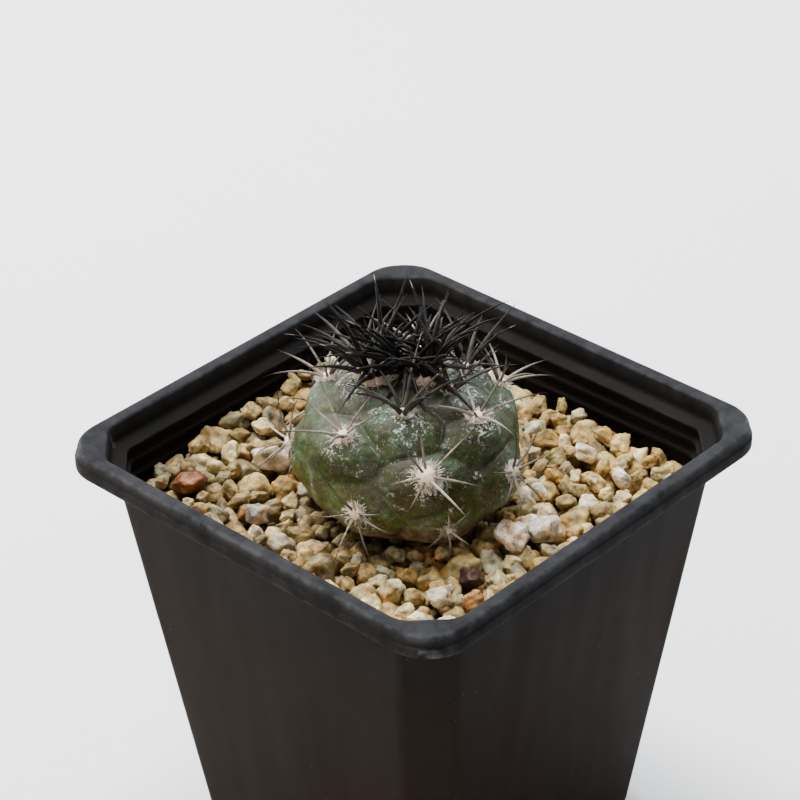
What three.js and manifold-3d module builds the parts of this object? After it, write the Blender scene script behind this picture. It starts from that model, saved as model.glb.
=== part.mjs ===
// A round cactus in a square plastic nursery pot, with potting mix and a top dressing of stone grit.
// Millimetres, +Z up. The origin is the middle of the pot's foot, on the surface that it stands on.
import * as THREE from "three";
import { mergeVertices } from "three/addons/utils/BufferGeometryUtils.js";
import Module from "manifold-3d";

const wasm = await Module();
wasm.setup();

// ---- Driving dimensions ----
const GAP = 0.3; // between any two pieces that touch

// Pot: thin moulded wall with a rolled rim, four flat-cut corners and a raised floor.
const POT_HEIGHT = 86;
const RIM_SIDE = 90;
const RIM_CORNER_RADIUS = 8.3;
const RIM_WIDTH = 3;
const RIM_EDGE = 0.6; // rounding of the rim's upper edges
const SKIRT_HEIGHT = 4.2;
const SKIRT_WALL = 1;
const RIM_WALL = 0.7;
const RIM_FLARE = 1.3; // height over which the wall flares out to the rim, below the skirt's edge
const SKIRT_OVERHANG = 4.3; // how far the skirt stands out from the wall below it
const RIM_SEAM = 1.8; // from the skirt's lower edge down to the seam between wall and rim
const POT_WALL = 0.9;
const WALL_TAPER = 0.12; // how far each wall leans out per millimetre of height
const CORNER_CUT = 6.7; // leg of the flat across each corner
const CORNER_ROUND = 2.75;
const FOOT_ROUND = 3;
const FOOT_WIDTH = 3.4;
const FLOOR_RAISE = 1.6;
const FLOOR_WALL = 1.1;
const RIDGE_COUNT = 3; // stiffening ridges round the inside of the wall
const RIDGE_FIRST = 4.8; // from the rim down to the first ridge
const RIDGE_PITCH = 2.8;
const RIDGE_PROUD = 0.4;
const RIDGE_HEIGHT = 0.9;
const SLOT_COUNT = 8; // drain slots, set round the floor
const SLOT_WIDTH = 3;
const SLOT_LENGTH = 11;
const SLOT_RING = 14;

// Filling: mix below, grit above.
const GRIT_DROP = 12.3; // from the rim down to the level of the grit
const GRIT_THICKNESS = 10;
const GRIT_PILE = 2.8; // how much higher the grit lies against the two back walls
const GRIT_PILE_REACH = 12;
const GRIT_LUMP = 0.7;
const GRIT_CELL = 6.2;

// Cactus: a flattened ball on a buried neck and taproot.
const STEM_RADIUS = 20.8;
const STEM_HALF_HEIGHT = 14.3;
const STEM_FULLNESS = 2.35; // 2 is an ellipse, more is a fuller shoulder
const STEM_SEAT = 9.8; // from the level of the grit up to the widest part
const STEM_CENTRE = new THREE.Vector2(0.5, -2);
const TUBERCLE_HEIGHT = 1.3;
const TUBERCLE_SPREAD = 17; // degrees
const NECK_RADIUS = 8;
const ROOT_RADIUS = 2.6;
const ROOT_LENGTH = 26;

// Areoles: a pad of wool that carries a fan of spines.
const PAD_RADIUS = 1.2;
const PAD_THICKNESS = 1;
const SPINE_RADIUS = 0.32;
const CROWN_SPINE_RADIUS = 0.45;
const SPINE_CLEARANCE = 0.45; // between spines of different areoles

// Finishes: colour, roughness, metalness.
const FINISHES = {
  pot: ["#242628", 0.45],
  mix: ["#4a3626", 0.95],
  grit: ["#c9ad84", 0.85],
  stem: ["#414b38", 0.6],
  stone: ["#c9ad84", 0.8],
  dark_spine: ["#26242a", 0.5],
  pale_spine: ["#9b8d7d", 0.6],
};

// ---- Helpers ----
const part = new THREE.Group();
const up = new THREE.Vector3(0, 0, 1);
const radians = THREE.MathUtils.degToRad;

// Repeatable numbers between -1 and 1.
function scatter(seed) {
  const wave = Math.sin(seed * 127.1 + 311.7) * 43758.5453;
  return 2 * (wave - Math.floor(wave)) - 1;
}

function solidFrom(geometry) {
  const bare = geometry.clone();
  bare.deleteAttribute("normal");
  bare.deleteAttribute("uv");
  const merged = mergeVertices(bare);
  return new wasm.Manifold(
    new wasm.Mesh({
      numProp: 3,
      vertProperties: merged.attributes.position.array,
      triVerts: new Uint32Array(merged.index.array),
    }),
  );
}

function geometryFrom(solid) {
  const mesh = solid.getMesh();
  const geometry = new THREE.BufferGeometry();
  geometry.setAttribute("position", new THREE.BufferAttribute(mesh.vertProperties, 3));
  geometry.setIndex(new THREE.BufferAttribute(mesh.triVerts, 1));
  geometry.computeVertexNormals();
  return geometry;
}

function addPiece(name, geometry, finish) {
  const [color, roughness] = FINISHES[finish];
  const material = new THREE.MeshStandardMaterial({ color, roughness, metalness: 0 });
  const piece = new THREE.Mesh(geometry, material);
  piece.name = name;
  part.add(piece);
}

// A turned form whose rings are given point by point: place(ring, step) says where each goes.
function turnedForm(ringCount, steps, place) {
  const profile = [];
  for (let ring = 0; ring < ringCount; ring += 1) {
    profile.push(new THREE.Vector2(1, ring));
  }
  const form = new THREE.LatheGeometry(profile, steps);
  const position = form.attributes.position;
  for (let step = 0; step <= steps; step += 1) {
    for (let ring = 0; ring < ringCount; ring += 1) {
      const spot = place(ring, step % steps);
      position.setXYZ(step * ringCount + ring, spot.x, spot.y, spot.z);
    }
  }
  return form;
}

// ---- Square outline with flat-cut, rounded corners ----
const ARC_POINTS = 3;
const OUTLINE_POINTS = 8 * ARC_POINTS;

// The cut that makes a true quarter circle of this radius when its two bends are that round.
const circleCut = (radius) => radius * (2 - Math.SQRT2);

function squareOutline(half, cut, round) {
  const inner = half - cut;
  const bends = [
    [inner, -half], [half, -inner], [half, inner], [inner, half],
    [-inner, half], [-half, inner], [-half, -inner], [-inner, -half],
  ].map(([x, y]) => new THREE.Vector2(x, y));
  const reach = round * Math.tan(Math.PI / 8);
  const outline = [];
  bends.forEach((bend, i) => {
    const before = bends[(i + 7) % 8];
    const after = bends[(i + 1) % 8];
    const start = bend.clone().add(before.clone().sub(bend).setLength(reach));
    const end = bend.clone().add(after.clone().sub(bend).setLength(reach));
    const arc = new THREE.QuadraticBezierCurve(start, bend, end);
    outline.push(...arc.getPoints(ARC_POINTS - 1));
  });
  return outline;
}

// A form through square rings {half, z, cut, round}; a ring of half 0 closes it on the axis.
function squareForm(rings) {
  const outlines = rings.map(({ half, cut, round }) => half > 0 && squareOutline(half, cut, round));
  return turnedForm(rings.length, OUTLINE_POINTS, (ring, step) => {
    const at = outlines[ring] ? outlines[ring][step] : { x: 0, y: 0 };
    return new THREE.Vector3(at.x, at.y, rings[ring].z);
  });
}

// ---- Pot ----
const rimHalf = RIM_SIDE / 2;
const mouthHalf = rimHalf - RIM_WIDTH;
const skirtBottom = POT_HEIGHT - SKIRT_HEIGHT;
const outerHalf = (z) => rimHalf - SKIRT_OVERHANG - (skirtBottom - z) * WALL_TAPER;
const innerHalf = (z) => outerHalf(z) - POT_WALL;
const floorTop = FLOOR_RAISE + FLOOR_WALL;
const cornerOf = (inset) => ({ cut: CORNER_CUT - inset * (2 - Math.SQRT2), round: CORNER_ROUND });
const rimCorner = (inset) => {
  const radius = RIM_CORNER_RADIUS - inset;
  return { cut: circleCut(radius), round: radius };
};

function potRings() {
  const wall = cornerOf(0);
  const inside = cornerOf(POT_WALL);
  const footHalf = outerHalf(0) - FOOT_ROUND * 0.7;
  const footInner = footHalf - FOOT_WIDTH;
  const channelInner = mouthHalf + RIM_WALL;
  const channelTop = skirtBottom + SKIRT_HEIGHT * 0.7;
  const channelOuter = rimHalf - SKIRT_WALL;
  const flareBottom = skirtBottom - RIM_FLARE;
  const rings = [
    { half: 0, z: FLOOR_RAISE },
    { half: footInner - FLOOR_RAISE * 0.5, z: FLOOR_RAISE, ...wall },
    { half: footInner, z: 0, ...wall },
    { half: footHalf, z: 0, ...wall },
    { half: outerHalf(0) - FOOT_ROUND * 0.2, z: FOOT_ROUND * 0.3, ...wall },
    { half: outerHalf(FOOT_ROUND), z: FOOT_ROUND, ...wall },
    { half: outerHalf(flareBottom), z: flareBottom, ...wall },
    { half: channelInner, z: skirtBottom, ...wall },
    { half: channelInner, z: channelTop, ...wall },
    { half: channelOuter, z: channelTop, ...rimCorner(SKIRT_WALL) },
    { half: channelOuter, z: skirtBottom, ...rimCorner(SKIRT_WALL) },
    { half: rimHalf, z: skirtBottom, ...rimCorner(0) },
    { half: rimHalf, z: POT_HEIGHT - RIM_EDGE, ...rimCorner(0) },
    { half: rimHalf - RIM_EDGE, z: POT_HEIGHT, ...rimCorner(RIM_EDGE) },
    { half: mouthHalf + RIM_EDGE, z: POT_HEIGHT, ...cornerOf(0) },
    { half: mouthHalf, z: POT_HEIGHT - RIM_EDGE, ...cornerOf(0) },
    { half: mouthHalf - RIM_EDGE / 2, z: POT_HEIGHT - RIDGE_FIRST + RIDGE_HEIGHT, ...inside },
  ];
  for (let i = 0; i < RIDGE_COUNT; i += 1) {
    const z = POT_HEIGHT - RIDGE_FIRST - i * RIDGE_PITCH;
    rings.push({ half: innerHalf(z) - RIDGE_PROUD, z, ...inside });
    rings.push({ half: innerHalf(z), z: z - RIDGE_HEIGHT, ...inside });
    rings.push({ half: innerHalf(z), z: z - RIDGE_PITCH + RIDGE_HEIGHT, ...inside });
  }
  rings.push({ half: innerHalf(floorTop + FOOT_ROUND), z: floorTop + FOOT_ROUND, ...inside });
  rings.push({ half: innerHalf(floorTop) - FOOT_ROUND * 0.7, z: floorTop, ...inside });
  rings.push({ half: 0, z: floorTop });
  return rings;
}

function drainSlot(angle) {
  const outline = new THREE.Shape();
  const straight = (SLOT_LENGTH - SLOT_WIDTH) / 2;
  outline.absarc(straight, 0, SLOT_WIDTH / 2, -Math.PI / 2, Math.PI / 2);
  outline.absarc(-straight, 0, SLOT_WIDTH / 2, Math.PI / 2, 1.5 * Math.PI);
  const depth = FLOOR_WALL + FLOOR_RAISE;
  const cutter = new THREE.ExtrudeGeometry(outline, { depth, bevelEnabled: false, curveSegments: 4 });
  cutter.translate(SLOT_RING, 0, FLOOR_RAISE / 2);
  return solidFrom(cutter.rotateZ(angle));
}

let pot = solidFrom(squareForm(potRings()));
for (let i = 0; i < SLOT_COUNT; i += 1) {
  pot = pot.subtract(drainSlot(((i + 0.5) * 2 * Math.PI) / SLOT_COUNT));
}

// The rim is its own piece, with its seam just below the skirt.
const seam = skirtBottom - RIM_SEAM;
const wall = pot.trimByPlane([0, 0, -1], GAP / 2 - seam);
const rim = pot.trimByPlane([0, 0, 1], seam + GAP / 2);
addPiece("pot", geometryFrom(wall), "pot");
addPiece("pot_rim", geometryFrom(rim), "pot");

// ---- Cactus stem: surface, tubercles, areole places ----
const gritLevel = POT_HEIGHT - GRIT_DROP;
const stemZ = gritLevel + STEM_SEAT;

// Each areole has a name, a bearing and a latitude on the stem, in degrees.
const AREOLES = [
  { name: "crown", row: "crown", places: [[53, 82], [133, 84], [213, 76], [163, 68], [100, 69]] },
  { name: "upper", row: "young", places: [[-52, 67], [26, 71], [76, 57], [170, 52]] },
  { name: "shoulder", row: "young", places: [[-91, 43], [9, 50], [69, 31], [125, 44], [-171, 36]] },
  { name: "flank", row: "old", places: [[-38, 24], [150, 20], [100, 12]] },
  { name: "waist", row: "old", places: [[-137, 5], [-73, -2], [12, 5], [122, -2], [-178, 2]] },
  { name: "lower", row: "old", places: [[-28, -14], [80, -12], [-158, -14]] },
];
const places = AREOLES.flatMap(({ places: row }) => row);

const flatten = 2 / STEM_FULLNESS;
const power = (value) => Math.sign(value) * Math.abs(value) ** flatten;

function tubercles(bearing, latitude) {
  const here = new THREE.Vector3().setFromSphericalCoords(1, radians(90 - latitude), radians(bearing));
  return places.reduce((sum, [areoleBearing, areoleLatitude]) => {
    const there = new THREE.Vector3().setFromSphericalCoords(
      1, radians(90 - areoleLatitude), radians(areoleBearing),
    );
    const apart = THREE.MathUtils.radToDeg(here.angleTo(there)) / TUBERCLE_SPREAD;
    return Math.max(sum, TUBERCLE_HEIGHT * Math.exp(-apart * apart));
  }, 0);
}

function stemPoint(bearing, latitude, proud = 0) {
  const swell = tubercles(bearing, latitude) - TUBERCLE_HEIGHT + proud;
  const radius = (STEM_RADIUS + swell) * power(Math.cos(radians(latitude)));
  return new THREE.Vector3(
    STEM_CENTRE.x + radius * Math.cos(radians(bearing)),
    STEM_CENTRE.y + radius * Math.sin(radians(bearing)),
    stemZ + (STEM_HALF_HEIGHT + swell) * power(Math.sin(radians(latitude))),
  );
}

function stemNormal(bearing, latitude) {
  const step = 2;
  const low = Math.min(latitude, 90 - 2 * step);
  const east = stemPoint(bearing + step, low).sub(stemPoint(bearing - step, low));
  const north = stemPoint(bearing, low + step).sub(stemPoint(bearing, low - step));
  return east.cross(north).normalize();
}

// How far a point stands off the plain stem, roughly, along the stem's radius.
function offStem(point) {
  const flat = Math.hypot(point.x - STEM_CENTRE.x, point.y - STEM_CENTRE.y) / STEM_RADIUS;
  const tall = Math.abs(point.z - stemZ) / STEM_HALF_HEIGHT;
  const scale = (flat ** STEM_FULLNESS + tall ** STEM_FULLNESS) ** (1 / STEM_FULLNESS);
  return (scale - 1) * STEM_HALF_HEIGHT;
}

const STEM_STEPS = 40;
const LOWEST_LATITUDE = -44;
const LATITUDE_STEP = 9;
const stemLatitudes = [];
for (let latitude = LOWEST_LATITUDE; latitude < 88; latitude += LATITUDE_STEP) {
  stemLatitudes.push(latitude);
}

// Buried part, from the root's tip up to the neck: radius, and depth below the widest part.
const buried = [
  [0, STEM_HALF_HEIGHT + ROOT_LENGTH],
  [ROOT_RADIUS * 0.5, STEM_HALF_HEIGHT + ROOT_LENGTH - 2],
  [ROOT_RADIUS, STEM_HALF_HEIGHT + ROOT_LENGTH * 0.5],
  [NECK_RADIUS, STEM_HALF_HEIGHT],
];

function stemForm(proud) {
  const ringCount = buried.length + stemLatitudes.length + 1;
  return turnedForm(ringCount, STEM_STEPS, (ring, step) => {
    const bearing = (step * 360) / STEM_STEPS;
    if (ring < buried.length) {
      const [radius, depth] = buried[ring];
      const reach = radius > 0 ? radius + proud : 0;
      return new THREE.Vector3(
        STEM_CENTRE.x + reach * Math.cos(radians(bearing)),
        STEM_CENTRE.y + reach * Math.sin(radians(bearing)),
        stemZ - depth - (radius > 0 ? 0 : proud),
      );
    }
    if (ring === ringCount - 1) {
      return new THREE.Vector3(STEM_CENTRE.x, STEM_CENTRE.y, stemZ + STEM_HALF_HEIGHT + proud);
    }
    return stemPoint(bearing, stemLatitudes[ring - buried.length], proud);
  });
}

addPiece("cactus_stem", stemForm(0), "stem");
const stemClearance = solidFrom(stemForm(GAP));

// ---- Stones: the larger pebbles that lie on top of the grit ----
// Bearing from the stem, place between stem (0) and wall (1), three half sizes, turn in degrees.
const STONES = [
  { name: "stone_orange_brown", bearing: -141, reach: 0.82, size: [3.2, 2.5, 1.8], turn: 10 },
  { name: "stone_cream_large", bearing: -158, reach: 0.2, size: [3.5, 2.7, 2.2], turn: 60 },
  { name: "stone_speckled", bearing: -123, reach: 0.25, size: [2.7, 2.2, 1.7], turn: 30 },
  { name: "stone_dark", bearing: -26, reach: 0.4, size: [2.7, 2.2, 1.8], turn: 80 },
  { name: "stone_quartz_near", bearing: 1, reach: 0, size: [3.1, 2.7, 2.2], turn: 40 },
  { name: "stone_quartz_far", bearing: 14, reach: 0.35, size: [2.7, 2.9, 2], turn: 0 },
  { name: "stone_white_back", bearing: 62, reach: 0.7, size: [1.9, 2.5, 1.7], turn: 20 },
  { name: "stone_white_right", bearing: 47, reach: 0.62, size: [2, 1.8, 1.6], turn: 70 },
  { name: "stone_orange_small", bearing: -29, reach: 0.75, size: [2, 1.7, 1.5], turn: 15 },
  { name: "stone_cream_front", bearing: -38, reach: 0.45, size: [2.2, 2.5, 1.8], turn: 50 },
];
const SLIDE_STEP = 3; // degrees
const STONE_SUNK = 0.25; // share of a stone's half height that lies below the grit's level

// Height of the grit's surface before its lumps.
function gritHeight(x, y) {
  const half = innerHalf(gritLevel);
  const against = (distance) => THREE.MathUtils.smoothstep(GRIT_PILE_REACH - distance, 0, GRIT_PILE_REACH);
  const middle = (along) => 1 - Math.min(1, (along / half) ** 2);
  const left = against(half + x) * middle(y);
  const right = against(half - y) * middle(x);
  return gritLevel + GRIT_PILE * Math.max(left, right);
}

function stonePlace({ bearing, reach, size }, slide) {
  const across = Math.max(size[0], size[1]) + GAP;
  const angle = radians(bearing + slide);
  const direction = new THREE.Vector2(Math.cos(angle), Math.sin(angle));
  const toWall = innerHalf(gritLevel) / Math.max(Math.abs(direction.x), Math.abs(direction.y));
  const nearest = STEM_RADIUS + across;
  const furthest = Math.max(nearest, toWall - across - CORNER_CUT / 2);
  const at = STEM_CENTRE.clone().addScaledVector(direction, THREE.MathUtils.lerp(nearest, furthest, reach));
  return new THREE.Vector3(at.x, at.y, gritHeight(at.x, at.y) + size[2] * (1 - STONE_SUNK));
}

// The stones are set down in turn; one that would touch an earlier one slides round the stem.
const stoneSpots = [];
STONES.forEach((stone) => {
  const size = Math.max(...stone.size);
  const touches = (at) => stoneSpots.some((other) => at.distanceTo(other.at) < size + other.size + GAP);
  let slide = 0;
  while (touches(stonePlace(stone, slide))) {
    slide = slide > 0 ? -slide : SLIDE_STEP - slide;
  }
  stoneSpots.push({ at: stonePlace(stone, slide), size });
});

function stoneForm(stone, index, grow) {
  const form = new THREE.IcosahedronGeometry(1, 1);
  const position = form.attributes.position;
  const corner = new THREE.Vector3();
  for (let i = 0; i < position.count; i += 1) {
    corner.fromBufferAttribute(position, i);
    const facet = Math.round(corner.x * 3) + 7 * Math.round(corner.y * 3) + 31 * Math.round(corner.z * 3);
    corner.multiplyScalar(1 + 0.1 * scatter(index + facet));
    corner.set(...corner.toArray().map((value, axis) => value * (stone.size[axis] + grow)));
    position.setXYZ(i, corner.x, corner.y, corner.z);
  }
  form.rotateZ(radians(stone.turn));
  const { at } = stoneSpots[index];
  return form.translate(at.x, at.y, at.z);
}

// ---- Filling ----
const mixTop = gritLevel - GRIT_THICKNESS;

// The space inside the pot, a gap clear of the walls, from one height to another.
function fillForm(low, high) {
  const corner = cornerOf(POT_WALL + GAP);
  const clear = GAP + RIDGE_PROUD;
  const rings = [{ half: 0, z: low }];
  if (low < floorTop + FOOT_ROUND) {
    rings.push({ half: innerHalf(low) - clear - FOOT_ROUND * 0.7, z: low, ...corner });
    rings.push({ half: innerHalf(low + FOOT_ROUND) - clear, z: low + FOOT_ROUND, ...corner });
  } else {
    rings.push({ half: innerHalf(low) - clear, z: low, ...corner });
  }
  rings.push({ half: innerHalf(high) - clear, z: high, ...corner }, { half: 0, z: high });
  return solidFrom(squareForm(rings));
}

const mix = fillForm(floorTop + GAP, mixTop).subtract(stemClearance);
addPiece("potting_mix", geometryFrom(mix), "mix");

// The grit's top is a sheet of low lumps, one for each cell of its grid.
function gritBlock() {
  const side = 2 * innerHalf(gritLevel) + 2 * GRIT_CELL;
  const cells = Math.round(side / GRIT_CELL);
  const height = GRIT_THICKNESS - GAP;
  const block = new THREE.BoxGeometry(side, side, height, cells, cells, 1);
  const position = block.attributes.position;
  for (let i = 0; i < position.count; i += 1) {
    const x = position.getX(i);
    const y = position.getY(i);
    const top = gritHeight(x, y) + GRIT_LUMP * scatter(Math.round(x * 10) + 97 * Math.round(y * 10));
    position.setZ(i, position.getZ(i) > 0 ? top : mixTop + GAP);
  }
  return solidFrom(block);
}

let grit = gritBlock().intersect(fillForm(mixTop + GAP, POT_HEIGHT)).subtract(stemClearance);
STONES.forEach((stone, index) => {
  addPiece(stone.name, stoneForm(stone, index, 0), "stone");
  grit = grit.subtract(solidFrom(stoneForm(stone, index, GAP * 1.3)));
});
addPiece("grit_layer", geometryFrom(grit), "grit");

// ---- Areoles with their spines ----
// How the spines of each row stand: number in the fan, lean from the areole's own direction,
// length, thickness at the foot, and the number and lean of the stouter middle spines.
const ROWS = {
  crown: { fan: 6, lean: 42, length: 15, radius: CROWN_SPINE_RADIUS, middle: 2, finish: "dark_spine" },
  young: { fan: 6, lean: 58, length: 12.5, radius: SPINE_RADIUS, middle: 1, finish: "dark_spine" },
  old: { fan: 6, lean: 64, length: 10, radius: SPINE_RADIUS, middle: 1, finish: "pale_spine" },
};
const SPINE_TURNS = [0, 9, -9, 18, -18, 27, -27]; // tried in this order until a spine is clear
const SPINE_LENGTHS = [1, 0.8, 0.6, 0.4];
const MIDDLE_LEAN = 14;
const SPINE_CURVE = 0.12; // sag of a spine as a share of its length
const SPINE_SEGMENTS = 2;
const SPINE_SIDES = 3;
const grown = []; // points along every spine so far, with the areole that each belongs to

function spineCurve(foot, direction, length) {
  const tip = foot.clone().addScaledVector(direction, length);
  const bend = foot.clone().lerp(tip, 0.5).addScaledVector(up, length * SPINE_CURVE);
  tip.addScaledVector(up, -length * SPINE_CURVE);
  return new THREE.QuadraticBezierCurve3(foot, bend, tip);
}

function isClear(curve, owner, radius) {
  const points = curve.getPoints(12).slice(2);
  const wall = innerHalf(gritLevel) - 2 * radius - GAP;
  return points.every((point) => {
    const inPot = Math.max(Math.abs(point.x), Math.abs(point.y)) < wall || point.z > POT_HEIGHT + 1;
    const aboveGrit = point.z > gritHeight(point.x, point.y) + GRIT_LUMP + radius + GAP;
    const offStones = stoneSpots.every(({ at, size }) => point.distanceTo(at) > size * 1.1 + radius + GAP);
    const apart = SPINE_CLEARANCE + 2 * CROWN_SPINE_RADIUS;
    const offSpines = grown.every((other) => other.owner === owner || point.distanceTo(other.at) > apart);
    return inPot && aboveGrit && offStones && offSpines && offStem(point) > radius + GAP;
  });
}

// A cone bent along a curve, its foot at the curve's start.
function spineForm(curve, radius) {
  const length = curve.getLength();
  const form = new THREE.ConeGeometry(radius, length, SPINE_SIDES, SPINE_SEGMENTS);
  const position = form.attributes.position;
  const lift = curve.getTangent(0.5).cross(up).lengthSq() > 0.01 ? up : new THREE.Vector3(1, 0, 0);
  for (let i = 0; i < position.count; i += 1) {
    const along = THREE.MathUtils.clamp(position.getY(i) / length + 0.5, 0, 1);
    const tangent = curve.getTangent(along);
    const side = tangent.clone().cross(lift).normalize();
    const top = side.clone().cross(tangent);
    const at = curve.getPoint(along);
    at.addScaledVector(side, position.getX(i)).addScaledVector(top, position.getZ(i));
    position.setXYZ(i, at.x, at.y, at.z);
  }
  return form;
}

function growSpine(foot, normal, turn, lean, row, owner) {
  const frame = new THREE.Quaternion().setFromUnitVectors(up, normal);
  for (const share of SPINE_LENGTHS) {
    for (const nudge of SPINE_TURNS) {
      const direction = new THREE.Vector3()
        .setFromSphericalCoords(1, radians(lean), radians(turn + nudge))
        .applyAxisAngle(new THREE.Vector3(1, 0, 0), Math.PI / 2)
        .applyQuaternion(frame);
      const curve = spineCurve(foot, direction, row.length * share);
      if (isClear(curve, owner, row.radius)) {
        curve.getPoints(24).forEach((at) => grown.push({ at, owner }));
        return solidFrom(spineForm(curve, row.radius));
      }
    }
  }
  return null;
}

function areoleSolid([bearing, latitude], row, owner) {
  const normal = stemNormal(bearing, latitude);
  const seat = stemPoint(bearing, latitude).addScaledVector(normal, GAP + PAD_THICKNESS / 2);
  const pad = new THREE.IcosahedronGeometry(1, 0).scale(PAD_RADIUS, PAD_RADIUS, PAD_THICKNESS / 2);
  pad.applyQuaternion(new THREE.Quaternion().setFromUnitVectors(up, normal));
  pad.translate(seat.x, seat.y, seat.z);
  let solid = solidFrom(pad);
  for (let i = 0; i < row.fan + row.middle; i += 1) {
    const inFan = i < row.fan;
    const turn = inFan ? (i * 360) / row.fan + 15 * scatter(owner) : i * 137;
    const lean = inFan ? row.lean + 6 * scatter(owner * 7 + i) : MIDDLE_LEAN;
    const spine = growSpine(seat, normal, turn, lean, row, owner);
    if (spine) solid = solid.add(spine);
  }
  return solid;
}

let owner = 0;
AREOLES.forEach(({ name, row, places: spots }) => {
  spots.forEach((spot, i) => {
    owner += 1;
    const solid = areoleSolid(spot, ROWS[row], owner);
    addPiece(`areole_${name}_${i + 1}`, geometryFrom(solid), ROWS[row].finish);
  });
});

export default part;
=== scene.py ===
"""A round cactus with tufted black spines, in pale grit in a square black nursery pot.

Everything is in metres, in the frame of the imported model: +Z up, origin under the pot.
"""
import math
import random

import bmesh
import bpy
import numpy as np
from mathutils import Matrix, Vector
from mathutils import noise as mathnoise


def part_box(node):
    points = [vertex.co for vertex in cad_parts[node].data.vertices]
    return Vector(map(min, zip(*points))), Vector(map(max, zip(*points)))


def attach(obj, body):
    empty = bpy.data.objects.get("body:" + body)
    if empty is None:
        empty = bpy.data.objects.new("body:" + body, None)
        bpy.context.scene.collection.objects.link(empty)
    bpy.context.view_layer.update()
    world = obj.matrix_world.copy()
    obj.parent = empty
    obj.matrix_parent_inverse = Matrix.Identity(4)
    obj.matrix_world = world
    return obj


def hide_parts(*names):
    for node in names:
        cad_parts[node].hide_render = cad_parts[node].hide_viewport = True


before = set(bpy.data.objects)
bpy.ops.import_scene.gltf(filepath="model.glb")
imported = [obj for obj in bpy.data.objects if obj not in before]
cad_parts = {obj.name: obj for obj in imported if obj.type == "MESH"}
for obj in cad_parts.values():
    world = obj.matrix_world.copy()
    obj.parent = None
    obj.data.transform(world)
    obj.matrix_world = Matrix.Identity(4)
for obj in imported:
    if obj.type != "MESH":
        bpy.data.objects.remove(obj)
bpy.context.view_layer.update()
MM = 0.001
rim_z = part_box("pot_rim")[1].z

# ---------------------------------------------------------------------------
# Studio: a pale matte floor that curves up behind the pot, a large soft window
# light from the left and behind, and a camera looking down over one corner.
# ---------------------------------------------------------------------------
FLOOR_REACH = 1.6
floor_rows = []
floor_curve = [
    (-FLOOR_REACH, 0), (0.3, 0), (0.42, 0.01), (0.52, 0.045), (0.6, 0.11), (0.64, 0.2), (0.66, 1.4),
]
for y, z in floor_curve:
    floor_rows.append([(-FLOOR_REACH, y, z), (FLOOR_REACH, y, z)])
floor_mesh = bpy.data.meshes.new("studio_floor")
floor_mesh.from_pydata(
    [point for row in floor_rows for point in row],
    [],
    [(2 * i, 2 * i + 1, 2 * i + 3, 2 * i + 2) for i in range(len(floor_rows) - 1)],
)
floor_mesh.shade_smooth()
floor = bpy.data.objects.new("studio_floor", floor_mesh)
floor.rotation_euler.z = math.radians(43.4)
bpy.context.scene.collection.objects.link(floor)

floor_paint = bpy.data.materials.new("studio_paper")
floor_paint.use_nodes = True
paper = floor_paint.node_tree.nodes["Principled BSDF"]
paper.inputs["Base Color"].default_value = (0.82, 0.825, 0.84, 1)
paper.inputs["Roughness"].default_value = 0.9
floor_mesh.materials.append(floor_paint)


def soft_light(name, place, aim, size, power, colour):
    """A square soft box that faces a point."""
    lamp = bpy.data.lights.new(name, "AREA")
    lamp.shape = "RECTANGLE"
    lamp.size, lamp.size_y = size
    lamp.energy = power
    lamp.color = colour
    holder = bpy.data.objects.new(name, lamp)
    holder.location = place
    holder.rotation_euler = (Vector(aim) - Vector(place)).to_track_quat("-Z", "Y").to_euler()
    bpy.context.scene.collection.objects.link(holder)


soft_light("window", (-0.85, 0.05, 0.85), (0, 0, 0.07), (0.5, 0.5), 26, (1.0, 0.98, 0.95))
soft_light("front_fill", (-0.2, -0.95, 0.36), (0, 0, 0.05), (0.9, 0.5), 7.5, (1.0, 0.82, 0.58))
soft_light("backdrop_light", (-0.35, 0.3, 1.3), (-0.35, 0.38, 0), (0.8, 0.8), 50, (0.93, 0.96, 1.0))

sky = bpy.data.worlds.new("studio_air")
bpy.context.scene.world = sky
sky.use_nodes = True
sky.node_tree.nodes["Background"].inputs["Color"].default_value = (0.98, 0.98, 1.0, 1)
sky.node_tree.nodes["Background"].inputs["Strength"].default_value = 0.45

# The lens looks at a point just above the plant's crown, from the right front corner.
lens = bpy.data.cameras.new("camera")
lens.lens = 129.8
lens.sensor_width = 36
lens.clip_start = 0.01
camera = bpy.data.objects.new("camera", lens)
look_at = Vector((-0.0016, -0.0018, rim_z + 0.0069))
bearing, height_angle, tilt = math.radians(43.37), math.radians(32.78), math.radians(-1.09)
away = Vector((
    math.sin(bearing) * math.cos(height_angle),
    -math.cos(bearing) * math.cos(height_angle),
    math.sin(height_angle),
))
camera.location = look_at + 0.507 * away
turn = away.to_track_quat("Z", "Y").to_matrix().to_4x4()
camera.rotation_euler = (turn @ Matrix.Rotation(tilt, 4, "Z")).to_euler()
bpy.context.scene.collection.objects.link(camera)
bpy.context.scene.camera = camera

# ---------------------------------------------------------------------------
# Pot: one thin moulding in black polypropylene, square, tapering, with its corners
# cut flat. The rim is a flat flange with a hanging skirt; three ridges stiffen the
# inside below it, and the floor is raised on a narrow foot with drain slots.
# ---------------------------------------------------------------------------
RIM_HALF = 45.0
POT_TALL = rim_z / MM
SKIRT_FOOT = POT_TALL - 4.2
TAPER = 0.12
WALL = 0.9


def wall_half(z):
    """Half the width of the pot's outside below the skirt, at a height, in millimetres."""
    return RIM_HALF - 4.3 - (SKIRT_FOOT - z) * TAPER


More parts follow.
